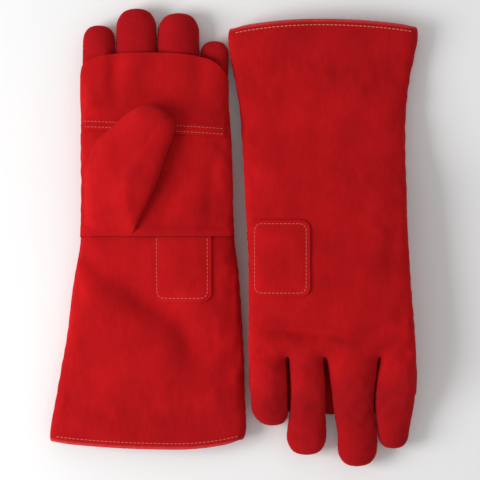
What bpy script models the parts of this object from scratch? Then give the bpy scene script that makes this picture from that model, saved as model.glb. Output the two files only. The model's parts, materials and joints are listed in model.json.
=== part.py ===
"""A pair of leather welding gauntlets lying side by side on a table.

The left glove lies on its back with its fingers towards +Y and its thumb folded over its palm.
The right glove is the same pattern turned through a point: palm down, fingers towards -Y, its
thumb folded under it. Each glove is drawn palm up in a pattern frame, in millimetres: x runs
from the thumb side to the little finger, y from the cuff's hem to the fingertips, z up.
"""

import math

import bmesh
import bpy
from mathutils import Vector

MM = 0.001

# ---- sizes that both gloves share, in millimetres ----
LEATHER = 1.6  # split hide
COTTON = 1.0  # lining
PATCH = 1.6  # sewn-on patches
THREAD_RADIUS = 0.4
GAP = 0.35  # between pieces that touch
PATCH_GAP = 0.7  # between a patch and the curved leather under it

CUFF_LENGTH = 185.0  # from the hem to the wrist's bend line
HAND_LENGTH = 135.0  # from there to the knuckles' bend line
HEM_BOW = 8.0  # how far the hem's corners stand back from its middle
HEM_INSET = 5.8  # from the hem's edge to its stitches
MOUTH_HEIGHT = 24.0
HAND_HEIGHT = 28.0
KNUCKLE_HEIGHT = 25.0
FINGER_HEIGHT = 22.8
FLATNESS = 1.1  # above 1, the tubes have a flat back and a flat palm
ROUNDNESS = 0.6  # of the tubes' side folds

UPPER_PALM_LENGTH = 28.5  # from the seam to the knuckles' bend line
SEAM_ROWS = (3.0, 8.0)  # the two rows of stitches, from the seam

THUMB_FROM_WRIST = 12.0
THUMB_ROOT_WIDTH = 82.0  # along the hand's side
THUMB_REACH = 85.0  # across the palm
THUMB_HEIGHT = 17.0
THUMB_CLEARANCE = 1.8  # between the thumb and the palm
THUMB_SWING_GAP = 1.0  # between the thumb's root and the line that it swings about
THUMB_ROOT_SHARE = 0.75  # of its full thickness at its root

# Where the gloves leave the table, as distances before and past the bend lines.
BACK_RISE = (45.0, 9.0)  # before the wrist, over the palm-up glove's back patch
BACK_FALL = (15.0, 25.0)  # before and past the knuckles
PALM_RISE = (0.4, 2.0)  # from this share of the cuff to this far before the folded thumb
PALM_FALL = (5.0, 55.0)  # before and past the knuckles
PAST_TIPS = 500.0

PATCH_CORNER = 9.0
PATCH_STITCH_INSET = 3.6
VEIN_PATCH_X = -2.7  # its edge nearer the thumb
VEIN_PATCH_WIDTH = 52.7
VEIN_PATCH_LENGTH = 50.6
BACK_PATCH_FROM_SIDE = 5.5  # its edge nearer the little finger, from the hand's side
BACK_PATCH_WIDTH = 48.0
BACK_PATCH_LENGTH = 68.0

# ---- joints ----
WRIST_LIMIT = 25.0  # degrees each way
WRIST_SLANT = 6.0  # degrees that the notch at the wrist leans, so the palm side starts late
NOTCH_SPARE = 1.5  # degrees of notch past the limit
JOINT_GAP = 0.4  # half the gap at a bend line
BEND_ABOVE = 0.5  # the finger bend axes lie this far above the leather
TIP_SHOULDER = 1.15  # a fingertip closes over this many half widths
TIP_STRAIGHT = 0.2  # the share of a fingertip's rows before it closes
TIP_BLUNTNESS = 0.8  # below 1, a tip stays wide for longer
FLAP_SHORT = 1.5  # the finger flap stops this far short of a fingertip's bend line
FLAP_CORNER = 12.0  # how far the flap's outer corners are rounded back
FLAP_STRAIGHT = 0.8  # the share of the flap's width between its rounded corners

AROUND = 20  # facets around a tube
FINGER_AROUND = 12
FLAP_ACROSS = 14
CUFF_ROWS = 5  # rows of facets along the cuff
PATCH_LINE_MARGIN = 2.0  # a panel's line this close to a patch's corner line is left out
FINGER_GAP = 0.9  # between neighbouring fingers
KNUCKLE_EASE = 0.5  # the hand's side stands this far outside its fingers
GLOVE_GAP = 2.0  # the least distance between the two gloves
STAGGER = 392.8  # from one glove's hem to the other's, along the table

WRIST = CUFF_LENGTH
KNUCKLES = WRIST + HAND_LENGTH
SEAM = KNUCKLES - UPPER_PALM_LENGTH
THUMB_LOW = WRIST + THUMB_FROM_WRIST
THUMB_HIGH = THUMB_LOW + THUMB_ROOT_WIDTH

# Widths and middles across the glove are given at the hem, half way up the cuff and at the wrist.
# Each finger has its root's width, its width at its bend line, the splay that parts it from the
# finger before, and its bend line's and its tip's distances from the knuckles.
LEFT = {
    "name": "left",
    "palm_up": True,
    "middles": (-8.5, -2.0, 0.7),
    "widths": (179.0, 162.4, 142.6),
    "knuckle_middle": -1.5,
    "fingers": {
        "index": (30.8, 30.0, 0.5, 41.0, 67.7),
        "middle": (36.4, 36.6, 0.0, 43.0, 83.0),
        "ring": (38.0, 38.2, 0.0, 43.0, 79.0),
        "little": (26.8, 25.8, 0.0, 32.0, 53.6),
    },
}
RIGHT = {
    "name": "right",
    "palm_up": False,
    "middles": (4.2, 4.0, 1.5),
    "widths": (174.4, 151.4, 145.6),
    "knuckle_middle": -3.7,
    "fingers": {
        "index": (31.8, 34.2, 0.0, 41.0, 72.8),
        "middle": (48.8, 35.8, 0.0, 43.0, 89.0),
        "ring": (34.4, 36.4, 8.7, 43.0, 78.7),
        "little": (33.2, 30.8, 0.0, 32.0, 51.5),
    },
}

# the thumb's outline: share of its reach, then its middle and half width as shares of its root's width
THUMB_PLAN = (
    (0.0, 0.50, 0.50),
    (0.25, 0.53, 0.53),
    (0.48, 0.66, 0.66),
    (0.62, 0.87, 0.53),
    (0.76, 1.03, 0.39),
    (0.87, 1.11, 0.28),
    (0.95, 1.14, 0.16),
    (1.0, 1.13, 0.0),
)

# colour (linear), roughness and metallic value of each material
LOOKS = {
    "red_suede": ((0.52, 0.006, 0.009), 0.92, 0.0),
    "dark_red_suede": ((0.33, 0.004, 0.007), 0.92, 0.0),
    "cream_cotton": ((0.62, 0.56, 0.46), 0.95, 0.0),
    "peach_thread": ((0.75, 0.30, 0.16), 0.7, 0.0),
}


# ---- shape helpers ----
def smooth(stations, at):
    """The value at a place on a smooth curve through (place, value) stations, with no overshoot."""
    at = min(max(at, stations[0][0]), stations[-1][0])
    slopes = [(b[1] - a[1]) / (b[0] - a[0]) for a, b in zip(stations, stations[1:])]
    k = next(i for i, b in enumerate(stations[1:]) if at <= b[0])

    def tangent(i):
        if i in (0, len(slopes)):
            return slopes[min(i, len(slopes) - 1)]
        before, after = slopes[i - 1], slopes[i]
        return 2 * before * after / (before + after) if before * after > 0 else 0.0

    (x0, y0), (x1, y1) = stations[k], stations[k + 1]
    step = x1 - x0
    t = (at - x0) / step
    start = y0 * (1 + 2 * t) * (1 - t) ** 2 + step * tangent(k) * t * (1 - t) ** 2
    end = y1 * t * t * (3 - 2 * t) - step * tangent(k + 1) * t * t * (1 - t)
    return start + end


def mix(low, high, share):
    return low + (high - low) * share


def finger_places(glove):
    """For each finger: its middle and half width at the knuckles and at its bend line, bend, tip."""
    fingers = glove["fingers"]
    root_edge = high_edge = glove["knuckle_middle"] - knuckle_width(glove) / 2
    found = {}
    for name, (root, width, splay, bend, tip) in fingers.items():
        high_edge += splay
        found[name] = (
            root_edge + root / 2,
            root / 2,
            high_edge + width / 2,
            width / 2,
            KNUCKLES + bend,
            KNUCKLES + tip,
        )
        root_edge += root + FINGER_GAP
        high_edge += width + FINGER_GAP
    return found


def knuckle_width(glove):
    """The finger roots side by side."""
    return sum(finger[0] for finger in glove["fingers"].values()) + 3 * FINGER_GAP


def middle(glove, y):
    """The middle of the cuff or hand, across the glove."""
    low, half_way, wrist = glove["middles"]
    return smooth(((0, low), (WRIST / 2, half_way), (WRIST, wrist), (KNUCKLES, glove["knuckle_middle"])), y)


def half_width(glove, y):
    low, half_way, wrist = (width / 2 for width in glove["widths"])
    knuckles = knuckle_width(glove) / 2 + KNUCKLE_EASE
    return smooth(((0, low), (WRIST / 2, half_way), (WRIST, wrist), (KNUCKLES, knuckles)), y)


def height(y):
    """Outside thickness of the cuff and hand."""
    stations = ((0, MOUTH_HEIGHT), (WRIST, HAND_HEIGHT), (SEAM, HAND_HEIGHT), (KNUCKLES, KNUCKLE_HEIGHT))
    return smooth(stations, y) if y < KNUCKLES else KNUCKLE_HEIGHT


def stitched_patch():
    """How far a patch and its stitches stand off the leather."""
    return PATCH_GAP + PATCH + GAP + 2 * THREAD_RADIUS


def hem_clearance():
    """How far the hem stands off the table, so its stitches clear it."""
    first_row = WRIST / CUFF_ROWS
    return (GAP + 2 * THREAD_RADIUS) * first_row / (first_row - HEM_INSET)


def back_clearance(y):
    """How far the back of the palm-up glove stands off the table, to clear its stitches."""
    hand = stitched_patch()
    cuff = ((0, hem_clearance()), (WRIST / CUFF_ROWS, 0), (WRIST - BACK_RISE[0], 0))
    over_hand = ((WRIST - BACK_RISE[1], hand), (KNUCKLES - BACK_FALL[0], hand))
    return smooth(cuff + over_hand + ((KNUCKLES + BACK_FALL[1], 0), (PAST_TIPS, 0)), y)


def palm_clearance(y):
    """How far the palm of the palm-down glove stands off the table, over its folded thumb."""
    hand = THUMB_CLEARANCE + THUMB_HEIGHT
    cuff = ((0, hem_clearance()), (WRIST / CUFF_ROWS, 0), (PALM_RISE[0] * WRIST, 0))
    over_hand = ((THUMB_LOW - PALM_RISE[1], hand), (KNUCKLES - PALM_FALL[0], hand))
    return smooth(cuff + over_hand + ((KNUCKLES + PALM_FALL[1], 0), (PAST_TIPS, 0)), y)


def settle(glove, point):
    """A point of the palm-up pattern, with its z turned into its height above the table."""
    if glove["palm_up"]:
        z = point.z + back_clearance(point.y)
    else:
        z = palm_clearance(point.y) + height(point.y) - point.z
    return Vector((point.x, point.y, z))


def section(glove, y, angle, inset=0.0, seam=0.0):
    """A point on the tube of the cuff and hand: angle 0 at the little finger's side, 90 on the palm."""
    half = half_width(glove, y) - inset
    side = math.copysign(1, math.sin(angle)) if abs(math.sin(angle)) > 1e-9 else 0
    rise = min(1.0, FLATNESS * abs(math.sin(angle)) ** ROUNDNESS)
    reach = seam / 2 + (height(y) / 2 - inset - seam / 2) * rise
    x = middle(glove, y) + half * math.cos(angle)
    return Vector((x, y, height(y) / 2 + side * reach))


def notch(point, y, hand_side):
    """Where the cuff or hand ends at the wrist: a plane on each side of the bend axis."""
    rise = point.z - height(y) / 2
    small = math.tan(math.radians(WRIST_SLANT))
    large = math.tan(math.radians(WRIST_SLANT + WRIST_LIMIT + NOTCH_SPARE))
    slant = large if (rise > 0) == hand_side else small
    return WRIST + slant * rise + (JOINT_GAP if hand_side else -JOINT_GAP)


# ---- placing and object making ----
def place(glove, point):
    """A settled point, in the world, in metres."""
    turn = 1 if glove["palm_up"] else -1
    x = turn * (point.x - SPACING / 2)
    y = turn * (point.y - STAGGER / 2)
    return (Vector((x, y, point.z)) - CENTRE) * MM


def little_side(glove, y):
    """How far the little finger's side of a glove reaches across the table at y."""
    if y <= KNUCKLES:
        return middle(glove, y) + half_width(glove, y)
    root, root_half, end, half, bend, tip = finger_places(glove)["little"]
    if y > tip:
        return -math.inf
    return max(root + root_half, end + half)


def spacing():
    """The distance between the two pattern frames that leaves the gloves their gap."""
    steps = range(-10, round(STAGGER) + 10, 2)
    reach = max(little_side(LEFT, y) + little_side(RIGHT, STAGGER - y) for y in steps)
    return reach + GLOVE_GAP


def pair_centre():
    """The middle of the two gloves' plan, which becomes the origin."""
    left_edge = middle(LEFT, 0) - half_width(LEFT, 0) - SPACING / 2
    right_edge = SPACING / 2 - middle(RIGHT, 0) + half_width(RIGHT, 0)
    top = max(finger[5] for finger in finger_places(LEFT).values()) - STAGGER / 2
    bottom = STAGGER / 2 - max(finger[5] for finger in finger_places(RIGHT).values())
    return Vector(((left_edge + right_edge) / 2, (top + bottom) / 2, 0))


def material(name):
    made = bpy.data.materials.get(name)
    if made:
        return made
    made = bpy.data.materials.new(name)
    made.use_nodes = True
    shader = made.node_tree.nodes["Principled BSDF"]
    colour, roughness, metallic = LOOKS[name]
    shader.inputs["Base Color"].default_value = (*colour, 1)
    shader.inputs["Roughness"].default_value = roughness
    shader.inputs["Metallic"].default_value = metallic
    made.diffuse_color = (*colour, 1)
    return made


def joint_empty(name, glove, line, parent):
    """An empty at a point of a joint's axis, which the pieces of the moving body hang from."""
    location = place(glove, settle(glove, Vector(line)))
    empty = bpy.data.objects.new(name, None)
    empty.empty_display_size = 0.02
    empty.parent = parent
    empty.location = location - (parent.matrix_world.translation if parent else Vector())
    PARTS.objects.link(empty)
    bpy.context.view_layer.update()
    return empty


def add(name, data, look, body):
    """A named object whose origin is on its body's joint."""
    made = bpy.data.objects.new(name, data)
    data.materials.append(material(look))
    made.parent = body
    PARTS.objects.link(made)
    return made


def sheet(bm, glove, surface, inset, across, along, flip):
    """A grid laid on surface(u, v, inset), with its row number kept on each point."""
    made = bmesh.ops.create_grid(bm, x_segments=across, y_segments=along, size=0.5)["verts"]
    row = bm.verts.layers.int["row"]
    for vert in made:
        u, v = vert.co.x + 0.5, vert.co.y + 0.5
        vert[row] = round(v * along)
        vert.co = place(glove, surface(u, v, inset))
    if flip:
        bmesh.ops.reverse_faces(bm, faces=list({face for vert in made for face in vert.link_faces}))
    bmesh.ops.remove_doubles(bm, verts=made, dist=1e-7)


def shell(name, glove, body, look, surface, thickness, across, along, open_tube=False):
    """A closed skin between surface(u, v, 0) and surface(u, v, thickness)."""
    bm = bmesh.new()
    row = bm.verts.layers.int.new("row")
    sheet(bm, glove, surface, 0.0, across, along, False)
    sheet(bm, glove, surface, thickness, across, along, True)
    rims = [edge for edge in bm.edges if edge.is_boundary]
    if open_tube:
        first = [edge for edge in rims if all(vert[row] == 0 for vert in edge.verts)]
        last = [edge for edge in rims if all(vert[row] == along for vert in edge.verts)]
        bmesh.ops.bridge_loops(bm, edges=first)
        bmesh.ops.bridge_loops(bm, edges=last)
    else:
        bmesh.ops.bridge_loops(bm, edges=rims)
    bmesh.ops.recalc_face_normals(bm, faces=bm.faces)
    bmesh.ops.translate(bm, verts=bm.verts, vec=-body.matrix_world.translation)
    mesh = bpy.data.meshes.new(name)
    bm.to_mesh(mesh)
    bm.free()
    mesh.shade_smooth()
    mesh.set_sharp_from_angle(angle=math.radians(50))
    return add(name, mesh, look, body)


def thread(name, glove, body, points, closed):
    """A run of stitches, as one thread along points of the pattern frame."""
    curve = bpy.data.curves.new(name, "CURVE")
    curve.dimensions = "3D"
    curve.bevel_depth = THREAD_RADIUS * MM
    curve.bevel_resolution = 0
    curve.use_fill_caps = True
    run = curve.splines.new("POLY")
    run.points.add(len(points) - 1)
    for made, point in zip(run.points, points):
        made.co = (*(place(glove, point) - body.matrix_world.translation), 1)
    run.use_cyclic_u = closed
    return add(name, curve, "peach_thread", body)


# ---- patches ----
def cross_line(surface, along, y, stand_off):
    """Where a panel's long lines pass y, raised off its facets by stand_off."""
    line = []
    for i in range(AROUND // 2 + 1):
        points = [surface(2 * i / AROUND, k / along, -stand_off) for k in range(along + 1)]
        k = next((k for k in range(along) if y <= points[k + 1].y), along - 1)
        low, high = points[k], points[k + 1]
        line.append(low.lerp(high, (y - low.y) / (high.y - low.y)))
    return line


def laid(surface, along, x, y, stand_off):
    """The point at (x, y) on a panel's facets, raised by stand_off."""
    line = cross_line(surface, along, y, stand_off)
    low, high = next(pair for pair in zip(line, line[1:]) if (pair[0].x - x) * (pair[1].x - x) <= 0)
    return low.lerp(high, (x - low.x) / (high.x - low.x))


def well_inside(at, span):
    return span[0] + PATCH_LINE_MARGIN < at < span[1] - PATCH_LINE_MARGIN


def patch_surface(panel, along, x_range, y_range):
    """A patch's grid: lines along its corners, and between them the panel's own lines."""
    inner_x = (x_range[0] + PATCH_CORNER, x_range[1] - PATCH_CORNER)
    inner_y = (y_range[0] + PATCH_CORNER, y_range[1] - PATCH_CORNER)
    ends = [cross_line(panel, along, y, 0) for y in y_range]
    kept = [i for i, pair in enumerate(zip(*ends)) if all(well_inside(p.x, inner_x) for p in pair)]
    rows = [panel(0.5, k / along, 0).y for k in range(along + 1)]
    ys = [y_range[0], inner_y[0]] + [y for y in rows if well_inside(y, inner_y)]
    ys += [inner_y[1], y_range[1]]
    pull = PATCH_CORNER * (1 - math.sqrt(0.5))

    def surface(u, v, inset):
        j = round(v * (len(ys) - 1))
        stand_off = PATCH_GAP + PATCH - inset
        line = cross_line(panel, along, ys[j], stand_off)
        xs = [x_range[0], inner_x[0]] + sorted(line[i].x for i in kept) + [inner_x[1], x_range[1]]
        i = round(u * (len(xs) - 1))
        x, y = xs[i], ys[j]
        if i in (0, len(xs) - 1) and j in (0, len(ys) - 1):
            x += pull if i == 0 else -pull
            y += pull if j == 0 else -pull
        return laid(panel, along, x, y, stand_off)

    return surface, len(kept) + 3, len(ys) - 1


def patch_stitch_points(panel, along, x_range, y_range):
    """A rounded rectangle inside the patch's edge, on the patch."""
    radius = PATCH_CORNER - PATCH_STITCH_INSET
    x_low, x_high = (x_range[0] + PATCH_STITCH_INSET, x_range[1] - PATCH_STITCH_INSET)
    y_low, y_high = (y_range[0] + PATCH_STITCH_INSET, y_range[1] - PATCH_STITCH_INSET)
    corners = ((x_high - radius, y_high - radius), (x_low + radius, y_high - radius))
    corners += ((x_low + radius, y_low + radius), (x_high - radius, y_low + radius))
    flat = []
    for k, (x, y) in enumerate(corners):
        after = corners[(k + 1) % 4]
        for step in (0, 0.5, 1):
            turn = math.pi / 2 * (k + step)
            flat.append((x + radius * math.cos(turn), y + radius * math.sin(turn)))
        for share in (0.25, 0.5, 0.75):
            x_on = mix(x, after[0], share) + radius * math.cos(turn)
            flat.append((x_on, mix(y, after[1], share) + radius * math.sin(turn)))
    stand_off = PATCH_GAP + PATCH + GAP + THREAD_RADIUS
    return [laid(panel, along, x, y, stand_off) for x, y in flat]


def build_patch(glove, body, name, panel, along, x_range, y_range):
    name = f"{glove['name']}_{name}"
    surface, across, rows = patch_surface(panel, along, x_range, y_range)
    shell(name, glove, body, "red_suede", surface, PATCH, across, rows)
    points = patch_stitch_points(panel, along, x_range, y_range)
    thread(f"{name}_stitching", glove, body, points, True)


# ---- the cuff ----
def cuff_surface(glove, start, sweep, seam, extra=0.0):
    def surface(u, v, inset):
        angle = start + sweep * u
        y = mix(0, WRIST, v)
        point = section(glove, y, angle, extra + inset, seam)
        bow = HEM_BOW * math.cos(angle) ** 2
        settled = settle(glove, point)
        settled.y = mix(bow, notch(point, y, False), v)
        return settled

    return surface


def build_cuff(glove, body):
    name = glove["name"]
    half = AROUND // 2
    palm = cuff_surface(glove, 0, math.pi, GAP)
    back = cuff_surface(glove, math.pi, math.pi, GAP)
    shell(f"{name}_cuff_palm_panel", glove, body, "red_suede", palm, LEATHER, half, CUFF_ROWS)
    shell(f"{name}_cuff_back_panel", glove, body, "red_suede", back, LEATHER, half, CUFF_ROWS)
    inside = cuff_surface(glove, 0, 2 * math.pi, 0, LEATHER + GAP)
    shell(f"{name}_cuff_lining", glove, body, "cream_cotton", inside, COTTON, AROUND, CUFF_ROWS, True)
    hem = []
    for panel in (palm, back):
        for k in range(half):
            edge, next_row = (panel(k / half, v, -GAP - THREAD_RADIUS) for v in (0, 1 / CUFF_ROWS))
            hem.append(edge.lerp(next_row, HEM_INSET / (next_row.y - edge.y)))
    thread(f"{name}_hem_stitching", glove, body, hem, True)
    end = WRIST + math.tan(math.radians(WRIST_SLANT)) * HAND_HEIGHT / 2 - 3 * JOINT_GAP
    across = (VEIN_PATCH_X, VEIN_PATCH_X + VEIN_PATCH_WIDTH)
    build_patch(glove, body, "vein_patch", palm, CUFF_ROWS, across, (end - VEIN_PATCH_LENGTH, end))


# ---- the hand ----
HAND_ROWS = [mix(WRIST, SEAM, k / 5) for k in range(5)]
UPPER_ROWS = [SEAM, (SEAM + KNUCKLES) / 2, KNUCKLES - JOINT_GAP]


def hand_surface(glove, start, sweep, seam, rows, extra=0.0):
    """A stretch of the hand's tube through rows. One that starts at the wrist has its notch."""

    def surface(u, v, inset):
        y = rows[round(v * (len(rows) - 1))]
        point = section(glove, y, start + sweep * u, extra + inset, seam)
        settled = settle(glove, point)
        if rows[0] == WRIST:
            settled.y += (notch(point, y, True) - WRIST) * max(0.0, 1 - (y - WRIST) / (SEAM - WRIST))
        return settled

    return surface


def build_hand(glove, body):
    name = glove["name"]
    half = AROUND // 2
    palm = hand_surface(glove, 0, math.pi, GAP, HAND_ROWS + [SEAM - GAP])
    upper = hand_surface(glove, 0, math.pi, GAP, UPPER_ROWS)
    back = hand_surface(glove, math.pi, math.pi, GAP, HAND_ROWS + UPPER_ROWS)
    inside = hand_surface(glove, 0, 2 * math.pi, 0, HAND_ROWS + UPPER_ROWS, LEATHER + GAP)
    shell(f"{name}_palm_panel", glove, body, "red_suede", palm, LEATHER, half, 5)
    shell(f"{name}_upper_palm_panel", glove, body, "red_suede", upper, LEATHER, half, 2)
    shell(f"{name}_hand_back_panel", glove, body, "red_suede", back, LEATHER, half, 7)
    shell(f"{name}_hand_lining", glove, body, "cream_cotton", inside, COTTON, AROUND, 7, True)
    for row, offset in zip(("lower", "upper"), SEAM_ROWS):
        points = cross_line(upper, 2, SEAM + offset, GAP + THREAD_RADIUS)[1:-1]
        thread(f"{name}_palm_seam_{row}_row", glove, body, points, False)
    start = WRIST - math.tan(math.radians(WRIST_SLANT)) * HAND_HEIGHT / 2 + 3 * JOINT_GAP
    side = middle(glove, start) + half_width(glove, start) - BACK_PATCH_FROM_SIDE
    along = (start, start + BACK_PATCH_LENGTH)
    build_patch(glove, body, "back_patch", back, 7, (side - BACK_PATCH_WIDTH, side), along)


# ---- fingers ----
def finger_section(centre, half, angle, inset, scale=1.0):
    """A point on a finger's tube, shrunk towards its middle by scale."""
    side = math.copysign(1, math.sin(angle)) if abs(math.sin(angle)) > 1e-9 else 0
    rise = min(1.0, FLATNESS * abs(math.sin(angle)) ** ROUNDNESS)
    x = centre + (half - inset) * scale * math.cos(angle)
    z = FINGER_HEIGHT / 2 + side * (FINGER_HEIGHT / 2 - inset) * scale * rise
    return x, z


def build_finger_root(glove, body, finger):
    low_centre, low_half, high_centre, high_half, bend, _ = finger_places(glove)[finger]

    def surface(u, v, inset):
        centre = mix(low_centre, high_centre, v)
        half = mix(low_half, high_half, v)
        x, z = finger_section(centre, half, 2 * math.pi * u, inset)
        return settle(glove, Vector((x, mix(KNUCKLES + JOINT_GAP, bend - JOINT_GAP, v), z)))

    name = f"{glove['name']}_{finger}_root"
    shell(name, glove, body, "red_suede", surface, LEATHER, FINGER_AROUND, 2, True)


def build_fingertip(glove, body, finger):
    _, _, centre, half, bend, tip = finger_places(glove)[finger]
    start = bend + JOINT_GAP

    def surface(u, v, inset):
        """The first rows are straight, and the rest close over the fingertip."""
        shoulder = max(start + 1, tip - TIP_SHOULDER * half)
        turn = math.pi / 2 * max(0.0, (v - TIP_STRAIGHT) / (1 - TIP_STRAIGHT))
        y = mix(shoulder, tip - inset, math.sin(turn))
        if v < TIP_STRAIGHT:
            y = mix(start, shoulder, v / TIP_STRAIGHT)
        scale = max(0.0, math.cos(turn)) ** TIP_BLUNTNESS
        x, z = finger_section(centre, half, 2 * math.pi * u, inset, scale)
        return settle(glove, Vector((x, y, z)))

    name = f"{glove['name']}_{finger}_fingertip"
    shell(name, glove, body, "dark_red_suede", surface, LEATHER, FINGER_AROUND, 5)


def flap_edge(glove, x, margin):
    """The finger flap's end at x: short of the bend lines of the fingers within margin of x."""
    ends = []
    for _, _, centre, half, bend, _ in finger_places(glove).values():
        if abs(x - centre) < half + margin:
            ends.append(bend - FLAP_SHORT)
    return min(ends)


def build_finger_flap(glove, body):
    """The upper palm panel's free end, which lies over the finger roots."""
    left = finger_places(glove)["index"]
    right = finger_places(glove)["little"]
    def surface(u, v, inset):
        low = mix(left[0] - left[1], right[0] + right[1], u)
        high = mix(left[2] - left[3], right[2] + right[3], u)
        step = (right[2] + right[3] - left[2] + left[3]) / FLAP_ACROSS
        corner = FLAP_CORNER * max(0.0, abs(2 * u - 1) - FLAP_STRAIGHT) / (1 - FLAP_STRAIGHT)
        y = mix(KNUCKLES + JOINT_GAP, flap_edge(glove, high, step) - corner, v)
        return settle(glove, Vector((mix(low, high, v), y, FINGER_HEIGHT + GAP + LEATHER - inset)))

    shell(f"{glove['name']}_finger_flap", glove, body, "red_suede", surface, LEATHER, FLAP_ACROSS, 2)


# ---- the thumb ----
def thumb_surface(glove, extra):
    root_width = THUMB_HIGH - THUMB_LOW
    middles = [(share, THUMB_LOW + middle * root_width) for share, middle, _ in THUMB_PLAN]
    halves = [(share, half * root_width) for share, _, half in THUMB_PLAN]
    root = thumb_axis_x(glove) + THUMB_SWING_GAP

    def surface(u, v, inset):
        inset += extra
        angle = 2 * math.pi * u
        share = math.sin(math.pi / 2 * v) ** 0.8
        half = max(0.0, smooth(halves, share) - inset) if v < 1 else 0.0
        thick = mix(THUMB_ROOT_SHARE, 1.0, min(1.0, 2 * share)) * THUMB_HEIGHT / 2
        thick = max(0.0, thick - inset) * max(0.0, 1 - share**6) ** 0.5
        side = math.copysign(1, math.sin(angle)) if abs(math.sin(angle)) > 1e-9 else 0
        rise = min(1.0, FLATNESS * abs(math.sin(angle)) ** ROUNDNESS)
        y = smooth(middles, share) + half * math.cos(angle)
        x = root + (THUMB_REACH - inset) * share
        z = height(y) + THUMB_CLEARANCE + THUMB_HEIGHT / 2 + side * thick * rise
        return settle(glove, Vector((x, y, z)))

    return surface


def thumb_axis_x(glove):
    """The thumb swings about a line just outside the hand's side."""
    return section(glove, (THUMB_LOW + THUMB_HIGH) / 2, math.pi).x - THUMB_SWING_GAP


def build_thumb(glove, body):
    name = glove["name"]
    shell(f"{name}_thumb", glove, body, "red_suede", thumb_surface(glove, 0), LEATHER, 14, 8)
    inside = thumb_surface(glove, LEATHER + GAP)
    shell(f"{name}_thumb_lining", glove, body, "cream_cotton", inside, COTTON, 14, 8)


# ---- the assembly ----
def build_glove(glove, parent):
    name = glove["name"]
    thumb_y = (THUMB_LOW + THUMB_HIGH) / 2
    wrist_line = (0, WRIST, height(WRIST) / 2)
    knuckle_line = (0, KNUCKLES, KNUCKLE_HEIGHT + BEND_ABOVE)
    thumb_line = (thumb_axis_x(glove), thumb_y, height(thumb_y) + THUMB_CLEARANCE)
    cuff = joint_empty(f"{name}_cuff_frame", glove, (0, 0, 0), parent)
    wrist = joint_empty(f"{name}_wrist_axis", glove, wrist_line, cuff)
    knuckles = joint_empty(f"{name}_knuckle_axis", glove, knuckle_line, wrist)
    thumb = joint_empty(f"{name}_thumb_axis", glove, thumb_line, wrist)

    build_cuff(glove, cuff)
    build_hand(glove, wrist)
    for finger, (_, _, centre, _, bend, _) in finger_places(glove).items():
        build_finger_root(glove, knuckles, finger)
        line = (centre, bend, FINGER_HEIGHT + BEND_ABOVE)
        tip = joint_empty(f"{name}_{finger}_axis", glove, line, knuckles)
        build_fingertip(glove, tip, finger)
    build_finger_flap(glove, knuckles)
    build_thumb(glove, thumb)
    return cuff


for old in list(bpy.data.objects):
    bpy.data.objects.remove(old)
PARTS = bpy.data.collections.new("welding_gloves")
bpy.context.scene.collection.children.link(PARTS)
SPACING = spacing()
CENTRE = pair_centre()
left_cuff = build_glove(LEFT, None)
build_glove(RIGHT, left_cuff)
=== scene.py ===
"""A pair of red split-leather welding gauntlets, lined with cotton and lying flat on a table.

The left glove lies palm up with its thumb folded over the palm, and the right one palm down.
Both follow one pattern, in millimetres: x runs from the thumb's side to the little finger, y from
the hem to the fingertips, and z from the back of the hand to the palm.
"""

import json
import math

import bmesh
import bpy
from mathutils import Matrix, Vector, noise
from mathutils.bvhtree import BVHTree


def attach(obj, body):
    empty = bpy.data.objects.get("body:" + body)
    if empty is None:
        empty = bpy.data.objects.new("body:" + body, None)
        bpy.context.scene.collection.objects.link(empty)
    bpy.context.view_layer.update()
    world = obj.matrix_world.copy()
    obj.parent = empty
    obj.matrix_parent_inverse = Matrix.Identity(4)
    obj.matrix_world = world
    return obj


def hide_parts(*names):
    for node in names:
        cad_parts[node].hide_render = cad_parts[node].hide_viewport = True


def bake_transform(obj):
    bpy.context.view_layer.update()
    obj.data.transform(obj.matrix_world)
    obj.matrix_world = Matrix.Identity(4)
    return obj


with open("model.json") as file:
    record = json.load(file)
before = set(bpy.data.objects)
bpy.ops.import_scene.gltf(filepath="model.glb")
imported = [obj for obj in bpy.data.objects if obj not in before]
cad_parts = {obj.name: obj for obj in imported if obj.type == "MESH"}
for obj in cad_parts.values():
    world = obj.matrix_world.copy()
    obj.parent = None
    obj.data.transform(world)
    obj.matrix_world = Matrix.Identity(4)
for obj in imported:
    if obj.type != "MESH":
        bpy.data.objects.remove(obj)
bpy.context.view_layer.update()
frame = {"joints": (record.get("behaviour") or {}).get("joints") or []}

MM = 0.001
ON_TABLE = 0.0003  # m; nothing lies lower
JOINTS = {joint["name"]: joint for joint in frame["joints"]}

# ---- sizes that both gloves share, in millimetres ----
WRIST = 185.0  # the wrist's bend line, from the hem
KNUCKLES = 320.0  # the knuckles' bend line
CROTCH = 307.0  # where the fingers part
LEATHER = 1.5  # split hide
COTTON_WALL = 1.0  # lining
LAP = 0.3  # air between two layers
HEM_TURN = 18.0  # the leather turned in at the mouth
HEM_THICKNESS = 3.4
HEM_INSET = 5.8  # from the hem's edge to its stitches

MOUTH_HEIGHT = 24.0
HAND_HEIGHT = 28.0
KNUCKLE_HEIGHT = 25.0
SQUARENESS = 3.2  # of the cuff's and hand's section: 2 is an ellipse

PALM_HEM = 194.0  # the palm panel's turned edge, above the wrist
PALM_TOP = 296.0  # and its end under the upper panel
SEAM = 291.5  # the upper palm panel's lower edge

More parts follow.
